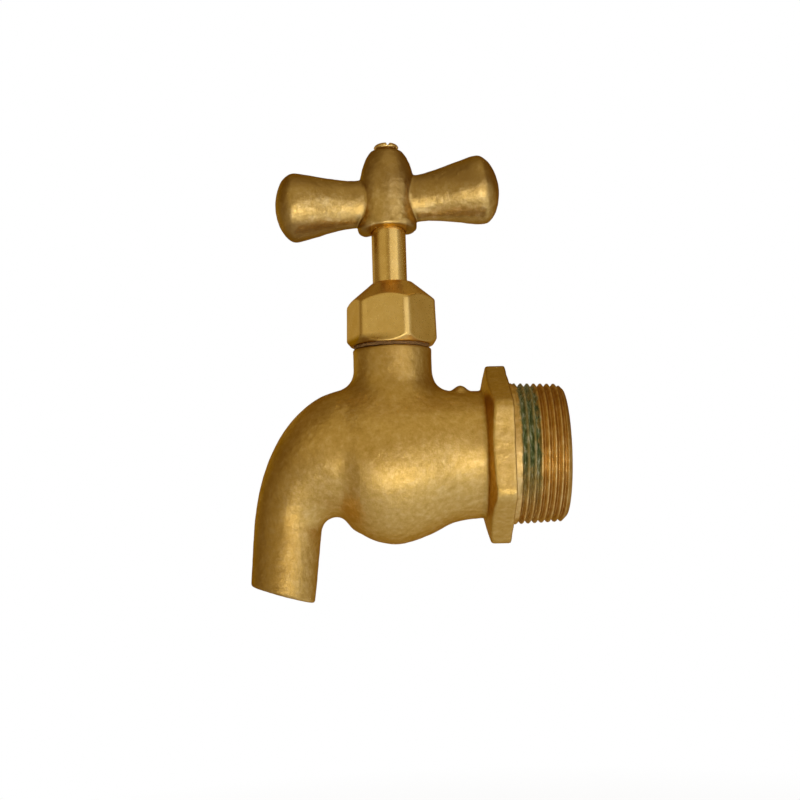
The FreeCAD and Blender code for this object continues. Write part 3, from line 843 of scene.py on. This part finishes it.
def brass(name, tones, rough, grain, grain_size=0.5, mottle_size=1.5, shade_and_tarnish=None,
          shade_and_tarnish_tone=TARNISH_AND_SHADE_TONE):
    """Brass with mottled tone, hollows darkened, part patina and part painted shade, brighter edges and a
    fine grain.

    tones are the dull, the common and the bright colour; grain is the height of the grain in mm;
    the function for the darker skin gives its share from the place on the piece: painted shade, and on
    the casting also tarnished skin.
    """
    material, nodes, links = new_material(name)
    shader = nodes["Principled BSDF"]
    place = object_place(nodes)
    dull, _, bright = tones
    mottle = add_noise(nodes, links, place, 1 / (mottle_size * MM), 6, 0.7)
    tone = add_ramp(nodes, links, mottle, MOTTLE_STOPS, tones)
    # Hollows darkened towards a deeper dull tone: part patina, part painted shade
    hollow = add_range(nodes, links, add_attribute(nodes, "hollow"), *HOLLOW_RANGE)
    tone = add_mix(nodes, links, hollow, tone, tuple(HOLLOW_SHADE * part for part in dull))
    edge = add_range(nodes, links, add_attribute(nodes, "edge"), *EDGE_RANGE)
    tone = add_mix(nodes, links, edge, tone, bright)
    # Darker skin by place: painted shade, and on the casting also tarnished skin
    if shade_and_tarnish:
        tone = add_mix(nodes, links, shade_and_tarnish(nodes, links, place), tone, shade_and_tarnish_tone)
    links.new(tone, shader.inputs["Base Color"])
    shader.inputs["Metallic"].default_value = 1.0
    shader.inputs["Specular Tint"].default_value = (*EDGE_TINT, 1)
    fine = add_noise(nodes, links, place, 1 / (grain_size * MM), 3, 0.65)
    roughness = (rough - ROUGH_BELOW, rough + ROUGH_ABOVE)
    roughness = add_range(nodes, links, fine, *MIDDLE_NOISE, *roughness)
    links.new(roughness, shader.inputs["Roughness"])
    coarse = add_noise(nodes, links, place, 1 / (COARSE_WIDTH * grain_size * MM), 3, 0.6)
    normal = add_bumps(nodes, links, [(coarse, COARSE_HEIGHT * grain), (fine, grain)])
    links.new(normal, shader.inputs["Normal"])
    return material


def patchy_share(nodes, links, place, least, most):
    """Share of tarnished skin and painted shade that comes and goes in soft patches."""
    noise = add_noise(nodes, links, place, PATCH_SCALE, 3)
    return add_range(nodes, links, noise, *MIDDLE_NOISE, least, most)


def joint_shadow(nodes, links, place):
    """Painted shadow round the joint under the hexagon, thickest on the spout side."""
    across, height = split_place(nodes, links, place)
    side = add_fade(nodes, links, across, *JOINT_SHADOW_SIDE)
    low = add_fade(nodes, links, height, *JOINT_SHADOW_FOOT)
    high = add_fade(nodes, links, height, *JOINT_SHADOW_TOP)
    return add_math(nodes, links, "MULTIPLY", low, high, side)


def casting_tarnish_and_shade(nodes, links, place):
    """Browner skin round the neck and along the outer side of the spout, in soft patches, part tarnished
    and part painted shade, with the painted shadow at the joint.
    """
    across, height = split_place(nodes, links, place)
    neck = add_fade(nodes, links, height, *NECK_TARNISH_AND_SHADE)
    outside = add_fade(nodes, links, across, *SPOUT_SIDE_TARNISH_AND_SHADE)
    either = add_math(nodes, links, "MAXIMUM", neck, outside)
    patch = patchy_share(nodes, links, place, *CASTING_PATCHES)
    skin = add_math(nodes, links, "MULTIPLY", either, patch)
    return add_math(nodes, links, "MAXIMUM", skin, joint_shadow(nodes, links, place))


def handle_shade(nodes, links, place):
    """Painted shade in soft patches on the upper side, at the outer end and under the sides of the hub.
    """
    across, height = split_place(nodes, links, place)
    upper = add_fade(nodes, links, height, *UPPER_SHADE)
    end = add_fade(nodes, links, across, *ARM_END_SHADE)
    below = add_fade(nodes, links, height, *HUB_FOOT_SHADE)
    middle = nodes.new("ShaderNodeMath")
    middle.operation = "COMPARE"
    links.new(across, middle.inputs[0])
    middle.inputs[1].default_value = STEM_X * MM
    middle.inputs[2].default_value = HUB_FOOT_HALF * MM
    aside = add_range(nodes, links, middle.outputs[0], 0, 1, 1, 0)
    foot = add_math(nodes, links, "MULTIPLY", below, aside)
    share = add_math(nodes, links, "MAXIMUM", upper, end, foot)
    patch = patchy_share(nodes, links, place, *HANDLE_PATCHES)
    return add_math(nodes, links, "MULTIPLY", share, patch)


def stain_share(nodes, links, place, hollow):
    """Where the compound lies: a ragged band of turns, thickest on the upper side."""
    along, height = split_place(nodes, links, place)
    patch = add_noise(nodes, links, place, STAIN_PATCH_SCALE, 4, 0.6)
    shift = STAIN_RAGGED * MM
    ragged = add_range(nodes, links, patch, *MIDDLE_NOISE, -shift, shift)
    border = nodes.new("ShaderNodeMath")
    links.new(along, border.inputs[0])
    links.new(ragged, border.inputs[1])
    begin = add_fade(nodes, links, border.outputs[0], *STAIN_BEGIN)
    end = add_fade(nodes, links, border.outputs[0], *STAIN_END)
    upper = add_fade(nodes, links, height, *STAIN_UPPER)
    filled = add_range(nodes, links, hollow, *STAIN_HOLLOW_RANGE)
    thick = add_range(nodes, links, patch, *STAIN_NOISE_RANGE)
    section = add_vector_math(nodes, links, "MULTIPLY", place, (0, 1, 1))["Vector"]
    radius = add_vector_math(nodes, links, "LENGTH", section)["Value"]
    outside = add_fade(nodes, links, radius, *STAIN_RADIUS)
    return add_math(nodes, links, "MULTIPLY", thick, begin, end, upper, filled, outside)


def thread_material():
    """Cut brass thread with green jointing compound on the turns nearest the flange."""
    material, nodes, links = new_material("threaded_brass")
    shader = nodes["Principled BSDF"]
    place = object_place(nodes)
    mottle = add_noise(nodes, links, place, THREAD_MOTTLE_SCALE, 4, 0.6)
    tone = add_ramp(nodes, links, mottle, THREAD_STOPS, THREAD_TONES)
    hollow = add_attribute(nodes, "hollow")
    # Painted shade in the roots of the thread, deeper with depth
    depth = add_range(nodes, links, hollow, *THREAD_ROOT_RANGE)
    tone = add_mix(nodes, links, depth, tone, THREAD_ROOT_TONE)
    stain = stain_share(nodes, links, place, hollow)
    stretched = add_vector_math(nodes, links, "MULTIPLY", place, STAIN_STRETCH)["Vector"]
    lumps = add_noise(nodes, links, stretched, STAIN_LUMP_SCALE, 4, 0.65)
    green = add_ramp(nodes, links, lumps, STAIN_STOPS, STAIN_TONES)
    links.new(add_mix(nodes, links, stain, tone, green), shader.inputs["Base Color"])
    metal = add_range(nodes, links, stain, 0, 1, 1, STAIN_METALLIC)
    links.new(metal, shader.inputs["Metallic"])
    fine = add_noise(nodes, links, place, THREAD_GRAIN_SCALE, 3, 0.6)
    rough = add_range(nodes, links, fine, *MIDDLE_NOISE, *THREAD_ROUGHNESS)
    links.new(rough, shader.inputs["Roughness"])
    shader.inputs["Specular Tint"].default_value = (*EDGE_TINT, 1)
    normal = add_bumps(nodes, links, [(lumps, STAIN_BUMP), (fine, THREAD_GRAIN)])
    links.new(normal, shader.inputs["Normal"])
    return material


def plain_finish(name, tones, rough, grain, grain_size):
    """Dull surface for fibre and rubber, with sizes in mm."""
    material, nodes, links = new_material(name)
    shader = nodes["Principled BSDF"]
    fine = add_noise(nodes, links, object_place(nodes), 1 / (grain_size * MM), 4, 0.6)
    links.new(add_ramp(nodes, links, fine, PLAIN_STOPS, tones), shader.inputs["Base Color"])
    shader.inputs["Roughness"].default_value = rough
    links.new(add_bumps(nodes, links, [(fine, grain)]), shader.inputs["Normal"])
    return material


MATERIALS = {
    "cast_brass": brass("cast_brass", CAST_TONES, rough=0.36, grain=0.055, shade_and_tarnish=casting_tarnish_and_shade),
    "handle_brass": brass(
        "handle_brass", HANDLE_TONES, rough=0.34, grain=0.055, mottle_size=1.8,
        shade_and_tarnish=handle_shade, shade_and_tarnish_tone=HANDLE_SHADE_TONE,
    ),
    # Machined brass carries the painted shadow under the hexagon at the joint
    "machined_brass": brass(
        "machined_brass", MACHINED_TONES, rough=0.31, grain=0.002, grain_size=0.35,
        mottle_size=5.0, shade_and_tarnish=joint_shadow,
    ),
    "turned_brass": brass(
        "turned_brass", TURNED_TONES, rough=0.23, grain=0.004, grain_size=0.3, mottle_size=6.0
    ),
    "fibre": plain_finish("fibre", FIBRE_TONES, rough=0.8, grain=0.03, grain_size=0.3),
    "seal_rubber": plain_finish(
        "seal_rubber", RUBBER_TONES, rough=0.55, grain=0.01, grain_size=0.5
    ),
}


def dress(piece, body, node, slot, material=None):
    piece.data.materials.clear()
    piece.data.materials.append(material or MATERIALS[slot])
    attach(piece, body)
    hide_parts(node)


dress(casting(), "root", "tap_body", "cast_brass")
dress(inlet_thread(), "root", "tap_body", "cast_brass", thread_material())
dress(bonnet(), "root", "bonnet", "machined_brass")
dress(handle(), "turning_parts", "handle", "handle_brass")
dress(screw(), "turning_parts", "handle_screw", "machined_brass")

KEPT_NODES = {
    "bonnet_gasket": "fibre",
    "spindle": "turned_brass",
    "upper_seal_ring": "seal_rubber",
    "lower_seal_ring": "seal_rubber",
    "jumper_valve": "turned_brass",
    "seat_washer": "seal_rubber",
    "washer_nut": "machined_brass",
}
for node, slot in KEPT_NODES.items():
    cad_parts[node].data.materials.clear()
    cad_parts[node].data.materials.append(MATERIALS[slot])


# Camera

CAMERA_PLACE = (-33.31, -305.62, -17.88)
CAMERA_YAW, CAMERA_PITCH, CAMERA_ROLL = -1.56, 5.85, 1.71
CAMERA_LENS = 58.5


def add_camera():
    camera = bpy.data.objects.new("camera", bpy.data.cameras.new("camera"))
    camera.data.lens = CAMERA_LENS
    camera.data.clip_start = 0.01
    yaw, pitch, roll = (math.radians(turn) for turn in (CAMERA_YAW, CAMERA_PITCH, CAMERA_ROLL))
    turned = Matrix.Rotation(yaw, 3, "Z") @ Matrix.Rotation(pitch, 3, "X") @ Matrix.Rotation(roll, 3, "Y")
    right, forward, up = turned.col
    matrix = Matrix((right, up, -forward)).transposed().to_4x4()
    matrix.translation = Vector(CAMERA_PLACE) * MM
    camera.matrix_world = matrix
    bpy.context.scene.collection.objects.link(camera)
    bpy.context.scene.camera = camera


# Light

FLOOR_Z = -0.12
FLOOR_HALF_SIDE = 6.0
FLOOR_TONE = (0.80, 0.76, 0.66)
FLOOR_ROUGHNESS = 0.9
FLOOR_WHITE = 0.9
FLOOR_CLEAR = 0.30
# Painted pool of light on the floor, seen only in the tap's reflections: middle, radii of its fall,
# shares
FLOOR_PATCH = (0.12, -0.14)
FLOOR_FALL = (0.08, 0.36)
FLOOR_SHEEN, FLOOR_FAR_SHEEN = 0.75, 0.12
WALL_TONE = (0.24, 0.155, 0.055)
# Soft lights of the studio: direction, half-angles where each is full and where it ends, colour
GLOWS = [
    ((0.0, 0.0, -1.0), 82, 120, (0.28, 0.19, 0.07)),
    ((-0.60, -0.70, 0.38), 12, 46, (0.50, 0.39, 0.18)),
    ((0.20, -0.50, 0.84), 14, 44, (0.62, 0.51, 0.29)),
    ((0.97, 0.05, -0.10), 8, 26, (0.42, 0.35, 0.18)),
    ((0.05, 0.45, 0.89), 8, 32, (0.36, 0.28, 0.13)),
    ((0.80, -0.44, -0.40), 18, 44, (0.94, 0.94, 0.94)),
]
# White backdrop behind the tap as it shows in reflections, with its share of white
BACKDROP = ((-0.55, 0.83, 0.12), 14, 28)
BACKDROP_SHEEN = 0.4
# Lamps: name, place, what they point at, size, power in watts and spread in degrees
TAP_MIDDLE = (-0.026, 0, 0.01)
LAMPS = [
    ("key", (0.44, -0.79, 0.16), TAP_MIDDLE, (0.95, 0.40), 0.92, 180),
    ("fill", (-0.70, -0.65, 0.20), TAP_MIDDLE, (0.8, 0.8), 0.2, 180),
    ("bounce", (0.05, -0.46, 0.34), (0.05, -0.46, FLOOR_Z), (0.4, 0.4), 2.6, 50),
]


def add_lamp(name, place, target, size, power, spread):
    lamp = bpy.data.objects.new(name, bpy.data.lights.new(name, "AREA"))
    lamp.data.shape = "RECTANGLE"
    lamp.data.size, lamp.data.size_y = size
    lamp.data.energy = power
    lamp.data.spread = math.radians(spread)
    lamp.location = place
    lamp.rotation_euler = (Vector(target) - Vector(place)).to_track_quat("-Z", "Y").to_euler()
    bpy.context.scene.collection.objects.link(lamp)


def add_cone(nodes, links, way, towards, full, end):
    """1 within the half-angle full about a direction, falling softly to 0 at the half-angle end."""
    towards = Vector(towards).normalized()
    nearness = add_vector_math(nodes, links, "DOT_PRODUCT", way, towards)["Value"]
    limits = (math.cos(math.radians(angle)) for angle in (end, full))
    share = add_range(nodes, links, nearness, *limits)
    share.node.interpolation_type = "SMOOTHSTEP"
    return share


def add_world():
    """White behind the tap for the eye and in its reflections, and a dim warm room with soft lights."""
    world = bpy.data.worlds.new("studio")
    bpy.context.scene.world = world
    world.use_nodes = True
    nodes, links = world.node_tree.nodes, world.node_tree.links
    way = nodes.new("ShaderNodeTexCoord").outputs["Generated"]
    tone = WALL_TONE
    for towards, full, end, colour in GLOWS:
        tone = add_mix(nodes, links, add_cone(nodes, links, way, towards, full, end), tone, colour)
    rays = nodes.new("ShaderNodeLightPath").outputs
    backdrop = add_cone(nodes, links, way, *BACKDROP)
    backdrop = add_range(nodes, links, backdrop, 0, 1, 0, BACKDROP_SHEEN)
    backdrop = add_math(nodes, links, "MULTIPLY", rays["Is Glossy Ray"], backdrop)
    seen = (rays["Is Camera Ray"], rays["Is Transmission Ray"])
    white = add_math(nodes, links, "MAXIMUM", backdrop, *seen)
    tone = add_mix(nodes, links, white, tone, (1.0, 1.0, 1.0))
    links.new(tone, nodes["Background"].inputs["Color"])


def floor_material():
    """Pale and dull, with plain white where it is seen and, where it is mirrored, a share of white that
    makes a painted pool of light near one patch.
    """
    material, nodes, links = new_material("floor")
    shader = nodes["Principled BSDF"]
    shader.inputs["Base Color"].default_value = (*FLOOR_TONE, 1)
    shader.inputs["Roughness"].default_value = FLOOR_ROUGHNESS
    place = object_place(nodes)
    # Painted pool of light: the share of white in reflections falls with distance from the patch
    middle = (*FLOOR_PATCH, FLOOR_Z)
    patch = add_vector_math(nodes, links, "DISTANCE", place, middle)["Value"]
    sheen = add_range(nodes, links, patch, *FLOOR_FALL, FLOOR_SHEEN, FLOOR_FAR_SHEEN)
    rays = nodes.new("ShaderNodeLightPath").outputs
    glossy = add_math(nodes, links, "MULTIPLY", rays["Is Glossy Ray"], sheen)
    seen = (rays["Is Camera Ray"], rays["Is Transmission Ray"])
    seen = add_math(nodes, links, "MAXIMUM", glossy, *seen)
    away = add_vector_math(nodes, links, "LENGTH", place)["Value"]
    white_share = add_range(nodes, links, away, FLOOR_CLEAR / 2, FLOOR_CLEAR, FLOOR_WHITE, 1)
    white = nodes.new("ShaderNodeEmission")
    mix = nodes.new("ShaderNodeMixShader")
    links.new(add_math(nodes, links, "MULTIPLY", seen, white_share), mix.inputs["Fac"])
    links.new(shader.outputs[0], mix.inputs[1])
    links.new(white.outputs[0], mix.inputs[2])
    links.new(mix.outputs[0], nodes["Material Output"].inputs["Surface"])
    return material


def add_floor():
    mesh = bpy.data.meshes.new("floor")
    corners = [(-1, -1), (1, -1), (1, 1), (-1, 1)]
    points = [(x * FLOOR_HALF_SIDE, y * FLOOR_HALF_SIDE, FLOOR_Z) for x, y in corners]
    mesh.from_pydata(points, [], [(0, 1, 2, 3)])
    mesh.materials.append(floor_material())
    floor = bpy.data.objects.new("floor", mesh)
    bpy.context.scene.collection.objects.link(floor)


add_camera()
add_world()
add_floor()
for lamp in LAMPS:
    add_lamp(*lamp)
bpy.context.scene.view_settings.view_transform = "Standard"
